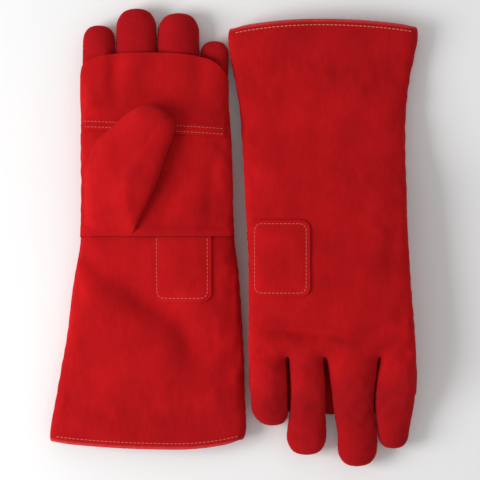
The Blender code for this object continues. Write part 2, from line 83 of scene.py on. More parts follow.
# how far the gloves stand off the table: over the back patch, and over the folded thumb
BACK_LIFT = ((0, 1.4), (37, 0), (140, 0), (176, 3.9), (305, 3.9), (345, 0), (500, 0))
PALM_LIFT = ((0, 1.4), (37, 0), (74, 0), (195, 18.8), (315, 18.8), (375, 0), (500, 0))
HEIGHTS = (
    (0, MOUTH_HEIGHT),
    (WRIST, HAND_HEIGHT),
    (SEAM, HAND_HEIGHT),
    (KNUCKLES, KNUCKLE_HEIGHT),
    (500, KNUCKLE_HEIGHT),
)

# where each stretch of leather changes from one body to the next
WRIST_BEND = (160.0, 210.0)
SLEEVE_END = 300.0
KNUCKLE_BEND = (302.0, 338.0)
ROOT_END = {"index": 344.0, "middle": 346.0, "ring": 346.0, "little": 340.0}
TIP_BEND = (-8.0, 12.0)  # before and past a fingertip's bend line
BENDS = {"index": 361.0, "middle": 363.0, "ring": 363.0, "little": 352.0}


def smooth(stations, at):
    """The value at a place on a smooth curve through (place, value) stations, with no overshoot."""
    at = min(max(at, stations[0][0]), stations[-1][0])
    slopes = [(b[1] - a[1]) / (b[0] - a[0]) for a, b in zip(stations, stations[1:])]
    k = next(i for i, b in enumerate(stations[1:]) if at <= b[0])

    def tangent(i):
        if i in (0, len(slopes)):
            return slopes[min(i, len(slopes) - 1)]
        before, after = slopes[i - 1], slopes[i]
        return 2 * before * after / (before + after) if before * after > 0 else 0.0

    (x0, y0), (x1, y1) = stations[k], stations[k + 1]
    step = x1 - x0
    t = (at - x0) / step
    start = y0 * (1 + 2 * t) * (1 - t) ** 2 + step * tangent(k) * t * (1 - t) ** 2
    end = y1 * t * t * (3 - 2 * t) - step * tangent(k + 1) * t * t * (1 - t)
    return start + end


def mix(low, high, share):
    return low + (high - low) * share


def ramp(low, high, at):
    """0 before low, 1 past high, smooth between."""
    t = min(max((at - low) / (high - low), 0.0), 1.0)
    return t * t * (3 - 2 * t)


class Glove:
    """One glove's outline and fingers, and where its pattern lies on the table."""

    def __init__(self, side, palm_up, thumb_side, little_side, hem, fingers):
        self.side = side
        self.palm_up = palm_up
        self.thumb_side = thumb_side
        self.little_side = little_side
        self.hem = hem
        self.fingers = fingers
        self.turn = 1 if palm_up else -1
        wrist = Vector(JOINTS[f"{side}_wrist_bend"]["pos_m"]) / MM
        self.origin = Vector((wrist.x, wrist.y - self.turn * WRIST, 0))

    def place(self, point):
        """A point of the pattern, on the table, in metres."""
        if self.palm_up:
            z = smooth(BACK_LIFT, point.y) + point.z
        else:
            z = smooth(PALM_LIFT, point.y) + smooth(HEIGHTS, point.y) - point.z
        x = self.origin.x + self.turn * point.x
        y = self.origin.y + self.turn * point.y
        return Vector((x, y, z)) * MM

    def hem_line(self, share):
        """How far the hem stands back from its lowest point, at a share across the cuff."""
        low, thumb, little = self.hem
        side = thumb if share < low else little
        reach = low if share < low else 1 - low
        return side * ((share - low) / reach) ** 2

    def across(self, y, share):
        return mix(smooth(self.thumb_side, y), smooth(self.little_side, y), share)


# Outlines: (y, x). Fingers: middle and half width where they part, at mid length and near the
# tip, with the tip's y, the finger's height off the table and its thickness.
LEFT = Glove(
    "left",
    True,
    (
        (0, -98.4), (13, -97.4), (40, -92.8), (96, -83.4),
        (154, -76.0), (194, -69.6), (250, -69.2), (320, -69.2),
    ),
    (
        (0, 80.0), (13, 82.2), (40, 81.0), (96, 79.2),
        (154, 75.8), (194, 71.2), (250, 69.6), (320, 66.4),
    ),
    (0.66, 6.6, 8.0),
    {
        "index": ((-53.6, 15.6), (-53.4, 15.2), (-53.0, 14.6), 387.7, 1.2, 21.0),
        "middle": ((-19.2, 18.6), (-19.0, 18.8), (-18.8, 18.4), 403.0, 0.6, 23.0),
        "ring": ((19.2, 19.4), (19.4, 19.6), (19.6, 19.0), 399.0, 0.4, 22.4),
        "little": ((52.0, 13.0), (52.4, 13.0), (52.8, 12.6), 373.6, 0.4, 17.5),
    },
)
RIGHT = Glove(
    "right",
    False,
    (
        (0, -83.0), (16, -82.0), (40, -77.4), (62, -73.9),
        (97, -71.3), (165, -71.0), (225, -73.9), (307, -79.4),
    ),
    (
        (0, 90.8), (16, 90.8), (40, 87.2), (62, 82.5),
        (97, 79.2), (165, 75.5), (225, 72.4), (307, 72.6),
    ),
    (0.52, 6.5, 8.0),
    {
        "index": ((-63.0, 16.0), (-60.8, 18.2), (-60.2, 14.2), 392.8, 0.5, 22.0),
        "middle": ((-21.8, 23.5), (-23.0, 19.2), (-27.6, 18.2), 409.0, 0.5, 22.8),
        "ring": ((20.8, 15.4), (18.2, 16.0), (19.2, 18.0), 398.7, 0.5, 22.8),
        "little": ((55.0, 16.8), (53.8, 17.0), (48.8, 15.6), 371.5, 0.5, 21.5),
    },
)
FINGERS = ("index", "middle", "ring", "little")
FINGER_COLUMNS = 3


# ---- mesh helpers ----
def new_object(name, mesh):
    made = bpy.data.objects.new(name, mesh)
    bpy.context.scene.collection.objects.link(made)
    return made


def evaluated(bm, add_modifiers):
    """The mesh that bm gives once add_modifiers has put modifiers on it."""
    mesh = bpy.data.meshes.new("blank")
    bm.to_mesh(mesh)
    blank = new_object("blank", mesh)
    add_modifiers(blank.modifiers)
    bpy.context.view_layer.update()
    made = bpy.data.meshes.new_from_object(blank.evaluated_get(bpy.context.evaluated_depsgraph_get()))
    bpy.data.objects.remove(blank)
    bpy.data.meshes.remove(mesh)
    return made


def subdivided(bm, levels):
    """bm, with its faces split smoothly."""

    def add(modifiers):
        subsurf = modifiers.new("soft", "SUBSURF")
        subsurf.levels = subsurf.render_levels = levels

    mesh = evaluated(bm, add)
    made = bmesh.new()
    made.from_mesh(mesh)
    bpy.data.meshes.remove(mesh)
    bm.free()
    return made


def fit_cage(bm, rounds=4, share=0.85):
    """Moves a cage's points until the smooth surface passes through where they started."""
    targets = [vert.co.copy() for vert in bm.verts]

    def add(modifiers):
        subsurf = modifiers.new("soft", "SUBSURF")
        subsurf.levels = subsurf.render_levels = 1

    for _ in range(rounds):
        mesh = evaluated(bm, add)
        for vert, target, reached in zip(bm.verts, targets, mesh.vertices):
            vert.co += (target - reached.co) * share
        bpy.data.meshes.remove(mesh)


def cut(bm, at, normal, clear_below=False, clear_above=False, snap=1e-5):
    """Cuts all of bm along a plane, and may drop either side. Points within snap count as on it."""
    geometry = bm.verts[:] + bm.edges[:] + bm.faces[:]
    bmesh.ops.bisect_plane(
        bm, geom=geometry, dist=snap, plane_co=at, plane_no=normal,
        clear_inner=clear_below, clear_outer=clear_above,
    )


# ---- the leather skin of one glove ----
def column_shares(glove):
    """Where the lengthwise lines lie, as shares of the hand's width."""
    low, high = glove.across(CROTCH, 0), glove.across(CROTCH, 1)
    edges = [low]
    for one, other in zip(FINGERS, FINGERS[1:]):
        (a, a_half), (b, b_half) = glove.fingers[one][0], glove.fingers[other][0]
        edges.append((a + a_half + b - b_half) / 2)
    edges.append(high)
    shares = []
    for a, b in zip(edges, edges[1:]):
        shares += [mix(a, b, k / FINGER_COLUMNS) for k in range(FINGER_COLUMNS)]
    return [(x - low) / (high - low) for x in shares + [high]]


SIDE_FOLD = 0.022  # the share of the width that the side fold's rounding takes


def section_point(glove, shares, column, layer, y, inset=0.0):
    """A point of the cuff's or hand's tube: layer 0 is the back, 1 the side folds, 2 the palm."""
    low, high = glove.across(y, 0) + inset, glove.across(y, 1) - inset
    share = shares[column]
    if layer != 1:
        share = min(max(share, SIDE_FOLD), 1 - SIDE_FOLD)
    x = mix(low, high, share)
    half = smooth(HEIGHTS, y) / 2
    rise = (half - inset) * (1 - abs(2 * share - 1) ** SQUARENESS) ** (1 / SQUARENESS)
    if layer == 1:
        rise = 0
    return Vector((x, y, half + (layer - 1) * rise))


FINGER_SQUARENESS = 2.15  # of a finger's section
MID_FINGER = 345.0
NEAR_TIP = 380.0


def finger_point(glove, finger, column, layer, y, scale):
    """A point of a finger's tube, drawn in towards its middle by scale."""
    (root, root_half), (mid, mid_half), (end, end_half), _, low, thick = glove.fingers[finger]
    centre = smooth(((CROTCH, root), (MID_FINGER, mid), (NEAR_TIP, end)), y)
    half = smooth(((CROTCH, root_half), (MID_FINGER, mid_half), (NEAR_TIP, end_half)), y) * scale
    turn = (180, 0)[column > 0] if layer == 1 else 150 - 40 * column
    angle = math.radians(turn)
    power = 2 / FINGER_SQUARENESS
    x = centre + half * math.copysign(abs(math.cos(angle)) ** power, math.cos(angle))
    if layer == 1 and 0 < column < FINGER_COLUMNS:
        x = mix(centre - half, centre + half, column / FINGER_COLUMNS)
    rise = abs(math.sin(angle)) ** power if layer != 1 else 0
    down = ramp(CROTCH - 5, MID_FINGER, y)
    middle = mix(smooth(HEIGHTS, y) / 2, low + thick / 2, down)
    tall = mix(smooth(HEIGHTS, y), thick, down) / 2
    return Vector((x, y, middle + (layer - 1) * tall * scale * rise))


TIP_ROWS = ((0.0, 1.0), (0.38, 0.955), (0.68, 0.80), (0.88, 0.58))  # share of the tip's dome, scale
TIP_DOME = 1.05  # the dome's length, in half widths
CUFF_STATIONS = (16, 40, 68, 96, 124, 148, 168, 182, 194, 206, 224, 246, 268, 286, 298)
FINGER_STATIONS = (314, 326, 340, 352, 366, 380)
GAP_COLUMNS = (3, 6, 9)  # the lengthwise lines between two fingers
GAP_SINK = 0.6  # the share of its height that the hand keeps there
HEM_BOW_REACH = 120.0  # the hem's curve has died out this far up the cuff


def skin_cage(glove):
    """A coarse cage: a flat tube from the turned hem to the knuckles, which splits into fingers."""
    shares = column_shares(glove)
    columns = len(shares) - 1
    bm = bmesh.new()
    column_of = bm.verts.layers.int.new("column")
    layer_of = bm.verts.layers.int.new("layer")
    bmesh.ops.create_grid(bm, x_segments=columns, y_segments=2, size=0.5)
    for vert in bm.verts:
        vert[column_of] = round((vert.co.x + 0.5) * columns)
        vert[layer_of] = round((vert.co.y + 0.5) * 2)

    def lay(verts, y, inset):
        for vert in verts:
            hem = glove.hem_line(shares[vert[column_of]]) * max(0.0, 1 - y / HEM_BOW_REACH)
            vert.co = section_point(glove, shares, vert[column_of], vert[layer_of], y, inset)
            vert.co.y += hem

    def extrude(faces):
        made = bmesh.ops.extrude_face_region(bm, geom=faces)["geom"]
        bmesh.ops.delete(bm, geom=faces, context="FACES")
        verts = [item for item in made if isinstance(item, bmesh.types.BMVert)]
        return verts, [item for item in made if isinstance(item, bmesh.types.BMFace)]

    lay(bm.verts, HEM_TURN, HEM_THICKNESS)
    front = bm.faces[:]
    rows = [(4.0, HEM_THICKNESS), (0.0, HEM_THICKNESS / 2), (4.0, 0.0)]
    for y, inset in rows + [(y, 0.0) for y in CUFF_STATIONS]:
        verts, front = extrude(front)
        lay(verts, y, inset)

    verts, front = extrude(front)
    lay(verts, CROTCH, 0.0)
    for vert in verts:
        if vert[column_of] in GAP_COLUMNS and vert[layer_of] != 1:
            middle = smooth(HEIGHTS, CROTCH) / 2
            vert.co.z = mix(middle, vert.co.z, GAP_SINK)

    ends = []
    for first_column in range(0, columns, FINGER_COLUMNS):
        last_column = first_column + FINGER_COLUMNS
        held = range(first_column, last_column + 1)
        ends.append([face for face in front if all(vert[column_of] in held for vert in face.verts)])
    for number, (finger, faces) in enumerate(zip(FINGERS, ends)):
        first_column = number * FINGER_COLUMNS
        tip = glove.fingers[finger][3]
        half = glove.fingers[finger][2][1]
        shoulder = tip - half * TIP_DOME
        rows = [(y, 1.0) for y in FINGER_STATIONS if y < shoulder - 6]
        rows += [(mix(shoulder, tip, share), scale) for share, scale in TIP_ROWS]
        for y, scale in rows:
            verts, faces = extrude(faces)
            for vert in verts:
                column = vert[column_of] - first_column
                vert.co = finger_point(glove, finger, column, vert[layer_of], y, scale)
        for vert in verts:
            column = vert[column_of] - first_column
            if vert[layer_of] == 1 and 0 < column < FINGER_COLUMNS:
                vert.co.y = tip
    bmesh.ops.recalc_face_normals(bm, faces=bm.faces)
    return bm


def share_of_hand(glove, point):
    """-1 at the thumb's side of the glove, 1 at the little finger's."""
    low, high = glove.across(point.y, 0), glove.across(point.y, 1)
    return 2 * (point.x - low) / (high - low) - 1


# Soft hollows that handling leaves: side, middle x and y, run's angle, half length, half width,
# depth. A negative depth is a swelling.
HOLLOWS = {
    "left": (
        ("palm", -8, 136, -37, 58, 15, 9.4),
        ("palm", -62, 172, -42, 26, 9, 3.0),
        ("palm", 32, 92, -70, 28, 12, 3.4),
        ("palm", -80, 74, -12, 18, 3.4, 2.2),
        ("palm", -60, 40, -10, 32, 9, 2.4),
        ("palm", -74, 15, -6, 22, 7, 2.2),
        ("palm", -6, 74, 0, 42, 24, -2.2),
        ("palm", 20, 30, 5, 36, 10, 1.8),
        ("palm", 62, 150, 84, 34, 7, -1.6),
        ("palm", 50, 235, 85, 36, 8, 2.4),
        ("palm", 12, 222, 62, 26, 8, 1.8),
        ("back", 10, 250, 10, 34, 12, 2.8),
        ("back", -20, 110, -30, 44, 15, 4.0),
        ("back", 30, 60, 20, 36, 12, 2.8),
    ),
    "right": (
        ("back", 30, 283, -4, 38, 8, 6.8),
        ("back", -30, 287, 10, 26, 9, 2.2),
        ("back", -20, 150, 70, 44, 26, -2.2),
        ("back", 40, 108, 80, 48, 14, 2.8),
        ("back", -56, 215, 84, 38, 9, 2.2),
        ("back", 5, 232, -20, 32, 12, 2.2),
        ("back", -50, 60, 60, 36, 12, 2.4),
        ("back", 8, 60, 10, 40, 10, 1.6),
        ("palm", 0, 100, 30, 44, 16, 3.0),
    ),
}


BROAD_SWELLS = (34.0, 1.5)  # the leather's slight unevenness: how wide, and how high
FINE_SWELLS = (11.0, 0.35)


def sculpt(glove, bm):
    """Presses the hollows into the leather, and gives all of it a slight unevenness."""
    bm.normal_update()
    moves = []
    for vert in bm.verts:
        point, normal = vert.co, vert.normal
        middle = smooth(HEIGHTS, point.y) / 2
        face = "palm" if point.z > middle else "back"
        inward = 0.0
        for side, x, y, angle, length, width, depth in HOLLOWS[glove.side]:
            if side != face:
                continue
            turn = math.radians(angle)
            along = (point.x - x) * math.cos(turn) + (point.y - y) * math.sin(turn)
            off = (point.y - y) * math.cos(turn) - (point.x - x) * math.sin(turn)
            inward += depth * math.exp(-((along / length) ** 2) - (off / width) ** 2)
        broad = noise.noise(point / BROAD_SWELLS[0] + Vector((7, 3, 1)) * glove.turn)
        fine = noise.noise(point / FINE_SWELLS[0] + Vector((2, 9, 4)) * glove.turn)
        uneven = BROAD_SWELLS[1] * broad + FINE_SWELLS[1] * fine
        calm = ramp(4, 26, point.y)
        flat = normal.z * normal.z
        moves.append(-inward * flat * calm + uneven * calm * (0.35 + 0.65 * flat))
    for vert, move in zip(bm.verts, moves):
        vert.co += vert.normal * move


def tree_of(bm):
    return BVHTree.FromBMesh(bm)


def laid_on(tree, face, x, y):
    """The point and outward normal of a surface above (x, y), seen from the palm or the back."""
    up = 1 if face == "palm" else -1
    hit, normal, _, _ = tree.ray_cast(Vector((x, y, 90 * up)), Vector((0, 0, -up)))
    if hit is None:
        return None, None
    return hit, normal * (1 if normal.z * up > 0 else -1)


def thicken(bm, wall, shading):
    """Gives an open sheet a wall inside its surface. Returns the shading normal of each face corner."""
    bm.verts.index_update()
    source = bm.verts.layers.int.new("source")
    for vert in bm.verts:
        vert[source] = vert.index
    inner_verts, inner_faces = bm.verts[:], bm.faces[:]
    made = bmesh.ops.extrude_face_region(bm, geom=bm.faces[:])["geom"]
    outer = {item for item in made if isinstance(item, (bmesh.types.BMVert, bmesh.types.BMFace))}
    for vert in inner_verts:
        vert.co -= shading[vert[source]] * wall
    inner = set(inner_faces)
    bm.normal_update()
    corners = []
    for face in bm.faces:
        for loop in face.loops:
            normal = shading[loop.vert[source]]
            if face in outer:
                corners.append(tuple(normal))
            elif face in inner:
                corners.append(tuple(-normal))
            else:
                corners.append(tuple(face.normal))
    bm.verts.layers.int.remove(source)
    return corners


def put_down(glove, bm):
    """Lays a pattern mesh on the table, in metres, with its faces outwards."""
    for vert in bm.verts:
        vert.co = glove.place(vert.co)
        vert.co.z = max(vert.co.z, ON_TABLE)
    if not glove.palm_up:
        bmesh.ops.reverse_faces(bm, faces=bm.faces)
    bm.normal_update()


def finish(glove, bm, name, look, blend=None, body=None, stands_for=(), wall=0.0):
    """Puts a pattern mesh on the table as a finished piece of a glove."""
    put_down(glove, bm)
    shading = [vert.normal.copy() for vert in bm.verts]
    return finish_placed(glove, bm, name, look, blend, body, stands_for, wall, shading)


def finish_placed(glove, bm, name, look, blend, body, stands_for, wall, shading):
    """Makes a mesh that lies on the table a piece: one given a blend stays where it lies, and any other
    rides on a body.
    """
    full_name = f"{glove.side}_{name}"
    corners = thicken(bm, wall * MM, shading) if wall else None
    mesh = bpy.data.meshes.new(full_name)
    bm.to_mesh(mesh)
    bm.free()
    mesh.shade_smooth()
    if corners:
        mesh.normals_split_custom_set(corners)
    mesh.materials.append(look)
    piece = new_object(full_name, mesh)
    if blend:
        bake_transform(piece)
    else:
        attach(piece, f"{glove.side}_{body}")
    if stands_for:
        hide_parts(*[f"{glove.side}_{node}" for node in stands_for])
    return piece


def bend_along(glove, first, second, low, high):
    """A blend between two bodies, from y low to y high of the pattern."""
    ends = [glove.place(Vector((0, y, 0))) for y in (low, high)]
    return first, second, Vector((0, ends[0].y, 0)), Vector((0, ends[1].y, 0))


def wrist_bend(glove):
    return bend_along(glove, "cuff", "hand", *WRIST_BEND)


def knuckle_bend(glove):
    return bend_along(glove, "hand", "fingers", *KNUCKLE_BEND)


def finger_bend(glove, finger):
    bend = BENDS[finger]
    return bend_along(glove, "fingers", f"{finger}_end", bend + TIP_BEND[0], bend + TIP_BEND[1])


# ---- the skin, in the stretches that move apart ----
def finger_at(glove, x):
    """The finger whose stretch of the knuckles holds x."""
    edges = []
    for one, other in zip(FINGERS, FINGERS[1:]):
        (a, a_half), (b, b_half) = glove.fingers[one][1], glove.fingers[other][1]
        edges.append((a + a_half + b - b_half) / 2)
    return FINGERS[sum(x > edge for edge in edges)]


def stretch_of(glove, middle):
    """Which piece a face of the skin belongs to."""
    if middle.y < SLEEVE_END:
        return "sleeve"
    finger = finger_at(glove, middle.x)
    return "knuckles" if middle.y < ROOT_END[finger] else finger


SIMULATED_FRAMES = 20
MOST_SWELL = 2.2  # mm that the simulation may move the leather
SLACK = 0.03  # the share of leather over what the outline needs
AIR_PRESSURE = 1.5
SIDE_HOLD = 0.9  # how firmly the side folds are held, where 1 is fixed


def swell(bm):
    """Lets the leather buckle and puff out a little, by a cloth simulation with air inside."""
    mesh = bpy.data.meshes.new("slack")
    bm.to_mesh(mesh)
    mesh.transform(Matrix.Diagonal((MM, MM, MM, 1)))
    slack = new_object("slack", mesh)
    held = slack.vertex_groups.new(name="held")
    bm.normal_update()
    for vert in bm.verts:
        near_hem = 1 - ramp(HEM_TURN, 3 * HEM_TURN, vert.co.y)
        on_side = SIDE_HOLD * ramp(0.35, 0.8, 1 - abs(vert.normal.z))
        weight = max(near_hem, on_side)
        held.add([vert.index], weight, "REPLACE")
    cloth = slack.modifiers.new("leather", "CLOTH")
    settings = cloth.settings
    settings.quality = 4
    settings.mass = 0.3
    settings.tension_stiffness = settings.compression_stiffness = 20
    settings.shear_stiffness = 8
    settings.bending_stiffness = 1.2
    settings.shrink_min = -SLACK
    settings.use_pressure = True
    settings.uniform_pressure_force = AIR_PRESSURE
    settings.effector_weights.gravity = 0
    settings.vertex_group_mass = "held"
    cloth.collision_settings.use_collision = False
    scene = bpy.context.scene
    for number in range(1, SIMULATED_FRAMES + 1):
        scene.frame_set(number)
    settled = slack.evaluated_get(bpy.context.evaluated_depsgraph_get()).data
    for vert, reached in zip(bm.verts, settled.vertices):
        move = reached.co / MM - vert.co
        vert.co += move * MOST_SWELL / (MOST_SWELL + move.length)
    scene.frame_set(1)
    bpy.data.objects.remove(slack)
    bpy.data.meshes.remove(mesh)


CUFF_DEEPER = 0.4  # how far the colour at the hem goes towards that of the fingers
WORN_EDGE = (1.0, 4.0)  # mm from the hem: worn pale up to the first, untouched past the second


def make_skin(glove):
    """The whole leather skin of a glove, with where its colour is deeper, partly as painted shade, and
    where it is worn.
    """
    bm = skin_cage(glove)
    fit_cage(bm)
    bm = subdivided(bm, 2)
    sculpt(glove, bm)
    swell(bm)
    bm = subdivided(bm, 1)
    deep = bm.verts.layers.float.new("deep")
    worn = bm.verts.layers.float.new("worn")
    for vert in bm.verts:
        y = vert.co.y
        # deep: over the fingers this is partly their deeper suede and partly painted shade, where they
        # curve down away from the light; near the hem the colour is simply darker
        vert[deep] = max(ramp(300, 356, y), CUFF_DEEPER * (1 - ramp(20, 90, y)))
        from_hem = y - glove.hem_line((share_of_hand(glove, vert.co) + 1) / 2)
        vert[worn] = 1 - ramp(*WORN_EDGE, from_hem)
    return bm


CUT_SNAP = 0.3  # mm; a cut takes in points this near, so that it leaves no slivers


def split_skin(glove, skin):
    """Cuts the skin into its moving stretches, which keep the whole skin's shading where they meet."""
    for y in sorted({SLEEVE_END, *ROOT_END.values()}):
        cut(skin, Vector((0, y, 0)), Vector((0, 1, 0)), snap=CUT_SNAP)
    stretches = [stretch_of(glove, face.calc_center_median()) for face in skin.faces]
    number = skin.faces.layers.int.new("stretch")
    names = ["sleeve", "knuckles", *FINGERS]
    for face, stretch in zip(skin.faces, stretches):
        face[number] = names.index(stretch)
    put_down(glove, skin)
    whole = skin.verts.layers.float_vector.new("whole")
    for vert in skin.verts:
        vert[whole] = vert.normal
    moves = {
        "sleeve": (wrist_bend(glove), ("cuff_palm_panel", "cuff_back_panel", "hand_back_panel")),
        "knuckles": (knuckle_bend(glove), tuple(f"{finger}_root" for finger in FINGERS)),
    }
    for finger in FINGERS:
        moves[finger] = (finger_bend(glove, finger), (f"{finger}_fingertip",))
    for k, name in enumerate(names):
        part = skin.copy()
        layer = part.faces.layers.int["stretch"]
        bmesh.ops.delete(part, geom=[face for face in part.faces if face[layer] != k], context="FACES")
        part.faces.layers.int.remove(layer)
        kept = part.verts.layers.float_vector["whole"]
        normals = [Vector(vert[kept]) for vert in part.verts]
        part.verts.layers.float_vector.remove(kept)
        blend, stands_for = moves[name]
        full = name if name not in FINGERS else f"{name}_tip"
        finish_placed(glove, part, full, SUEDE, blend, None, stands_for, LEATHER, normals)


# ---- layers sewn over the skin ----
def layer_over(skin, planes, rise):
    """A copy of the part of the skin that the planes point to, raised by rise(vert)."""
    bm = skin.copy()
    bm.normal_update()
    for at, normal in planes:
        cut(bm, Vector(at), Vector(normal), clear_below=True)
    bm.normal_update()
    moves = [vert.normal * rise(vert) for vert in bm.verts]
    for vert, move in zip(bm.verts, moves):
        vert.co += move
    return bm


HEM_FOLD = 1.4  # how much more the palm's turned hem stands up
SUNK_RIM = -0.4  # the panel's rim goes into the side folds
HEM_SHADE_WIDTH = 0.8  # width of the painted shade line along the turned edge


def palm_panel(glove, skin):
    """The palm's extra layer, with a turned hem above the wrist."""

    def rise(vert):
        turned = 1 - ramp(PALM_HEM + 5, PALM_HEM + 11, vert.co.y)
        return mix(SUNK_RIM, LAP + LEATHER + HEM_FOLD * turned, ramp(0.05, 0.75, vert.normal.z))

    planes = (
        ((0, PALM_HEM, 0), (0, 1, 0)),
        ((0, PALM_TOP, 0), (0, -1, 0)),
        ((0, 0, HAND_HEIGHT / 2 + 0.5), (0, 0, 1)),
    )
    bm = layer_over(skin, planes, rise)
    # the turned edge's rim is painted darker: a line of painted shade under the hem's step
    cut(bm, Vector((0, PALM_HEM + HEM_SHADE_WIDTH, 0)), Vector((0, 1, 0)))
    hem_shade = bm.verts.layers.float.new("hem_shade")
    for vert in bm.verts:
        vert[hem_shade] = float(vert.is_boundary and vert.co.y < PALM_HEM + 6)
    tree = tree_of(bm)
    finish(glove, bm, "palm", SUEDE, wrist_bend(glove), None, ("palm_panel",), LEATHER)
    return tree


SEAM_ROWS = 292.9  # the two rows' middle, at x 0
SEAM_SLANT = 0.055
SEAM_ALLOWANCE = 5.0  # the upper panel's leather below that middle


def seam_y(x):
    """The middle of the upper palm panel's two rows of stitches."""
    return SEAM_ROWS - SEAM_SLANT * x


# the flap's free end: share across the hand from the thumb's side, -1, to the other, and y
FLAP_END = (
    (-1.0, 341),
    (-0.975, 349),
    (-0.93, 353),
    (-0.82, 357),
    (-0.6, 360.4),
    (-0.25, 361.7),
    (0.1, 361.7),
    (0.44, 360),
    (0.7, 356.5),
    (0.86, 350.5),
    (0.94, 344),
    (1.0, 337),
)


# the middle and the top of the upper palm panel's section
UPPER_PALM_MIDDLE = ((286, HAND_HEIGHT / 2), (320, 13.0), (361, 15.0))
UPPER_PALM_TOP = (
    (286, HAND_HEIGHT + 3.6),
    (296, HAND_HEIGHT + 3.4),
    (306, HAND_HEIGHT + 1.6),
    (320, 28.2),
    (361, 25.6),
)
GAP_VALLEYS = (3.6, 1.6, 1.8)  # how deep the flap sinks between the fingers
GAP_VALLEY_WIDTH = 7.5
FLAP_SWELLS = (17.0, 0.5)  # the flap's unevenness: how wide, and how high


def upper_palm(glove, trees):
    """The upper palm panel, whose free end lies over the finger roots."""
    bm = bmesh.new()
    across, along = 72, 44
    bmesh.ops.create_grid(bm, x_segments=across, y_segments=along, size=0.5)
    roots = [glove.fingers[finger][1] for finger in FINGERS]
    gaps = [(a + a_half + b - b_half) / 2 for (a, a_half), (b, b_half) in zip(roots, roots[1:])]
    low_edge = min(roots[0][0] - roots[0][1] - 1.6, glove.across(KNUCKLES, 0) - 0.8)
    high_edge = max(roots[3][0] + roots[3][1] + 0.6, glove.across(KNUCKLES, 1) - 0.5)
    for vert in bm.verts:
        u, v = vert.co.x + 0.5, vert.co.y + 0.5
        angle = math.pi * (1 - u)
        share = math.copysign(abs(math.cos(angle)) ** (2 / SQUARENESS), math.cos(angle))
        rise = math.sin(angle) ** (2 / SQUARENESS)
        out = ramp(SEAM, 330, mix(SEAM, 345, v))
        far = smooth(FLAP_END, share)
        low = mix(glove.across(300, 0) + 0.6, low_edge, out)
        high = mix(glove.across(300, 1) - 0.6, high_edge, out)
        x = mix(low, high, (share + 1) / 2)
        near = seam_y(x) - SEAM_ALLOWANCE
        y = mix(near, far, v)
        middle = smooth(UPPER_PALM_MIDDLE, y)
        top = smooth(UPPER_PALM_TOP, y)
        z = middle + (top - middle) * rise
        for gap, depth in zip(gaps, GAP_VALLEYS):
            off = (x - gap) / GAP_VALLEY_WIDTH
            z -= depth * math.exp(-(off**2)) * ramp(303, 332, y) * rise
        vert.co = Vector((x, y, z))
    for _ in range(2):
        for vert in bm.verts:
            if abs(share_of_hand(glove, vert.co)) < 0.93:
                for tree in trees:
                    hit, _ = laid_on(tree, "palm", vert.co.x, vert.co.y)
                    if hit is not None:
                        vert.co.z = max(vert.co.z, hit.z + LEATHER + LAP)
        bmesh.ops.smooth_vert(
            bm, verts=bm.verts, factor=0.5, use_axis_x=False, use_axis_y=False, use_axis_z=True
        )
    for vert in bm.verts:
        uneven = FLAP_SWELLS[1] * noise.noise(vert.co / FLAP_SWELLS[0])
        vert.co.z += uneven * ramp(296, 312, vert.co.y)
    bmesh.ops.recalc_face_normals(bm, faces=bm.faces)
    bm.normal_update()
    if sum(face.normal.z for face in bm.faces) < 0:
        bmesh.ops.reverse_faces(bm, faces=bm.faces)
    tree = tree_of(bm)
    nodes = ("upper_palm_panel", "finger_flap")
    wall = LEATHER + 0.4
    finish(glove, bm, "upper_palm", SUEDE, knuckle_bend(glove), None, nodes, wall)
    return tree


# the folded thumb's outline: pairs of points at its lower and upper edge, from its root to its tip
THUMB_SECTIONS = (
    ((-66.6, 204.0), (-66.6, 269.0)),
    ((-60.5, 198.6), (-61.0, 273.5)),
    ((-48.0, 196.4), (-53.0, 279.0)),
    ((-34.0, 196.8), (-43.8, 285.5)),
    ((-22.8, 198.8), (-37.5, 290.5)),
    ((-17.2, 209.6), (-32.0, 296.0)),
    ((-4.9, 233.5), (-25.0, 302.0)),
    ((5.4, 260.0), (-15.5, 308.4)),
    ((12.6, 278.0), (-4.8, 312.0)),
    ((17.0, 290.5), (5.0, 309.4)),
    ((16.6, 298.0), (12.4, 303.2)),
)
THUMB_ACROSS = 5
THUMB_DRAWN_AT = -69.4  # x of the hand's side where the outline is drawn from
THUMB_BLEND = (-68.0, -58.0)  # x where the thumb's root turns from the hand into the thumb
THUMB_CROWDING = 0.12  # how much a section's points crowd towards its middle
THUMB_STEP = 1.9  # the thumb's rise onto the upper palm panel
THUMB_RIM = 0.72  # an edge's height, as a share of the section's
THUMB_SUNK = (-0.9, -2.6)  # z over the palm of the top and the underside where an edge sinks into it
THUMB_ROOT_SUNK = 1.4  # the first section goes down this much of the way
THUMB_SWELLS = (24.0, 0.9)  # the thumb's unevenness: how wide, and how high
THUMB_HEIGHTS = ((0, 1.0), (1, 6.0), (2, 10.0), (4, 13.8), (7, 15.4), (10, 12.0))  # by section


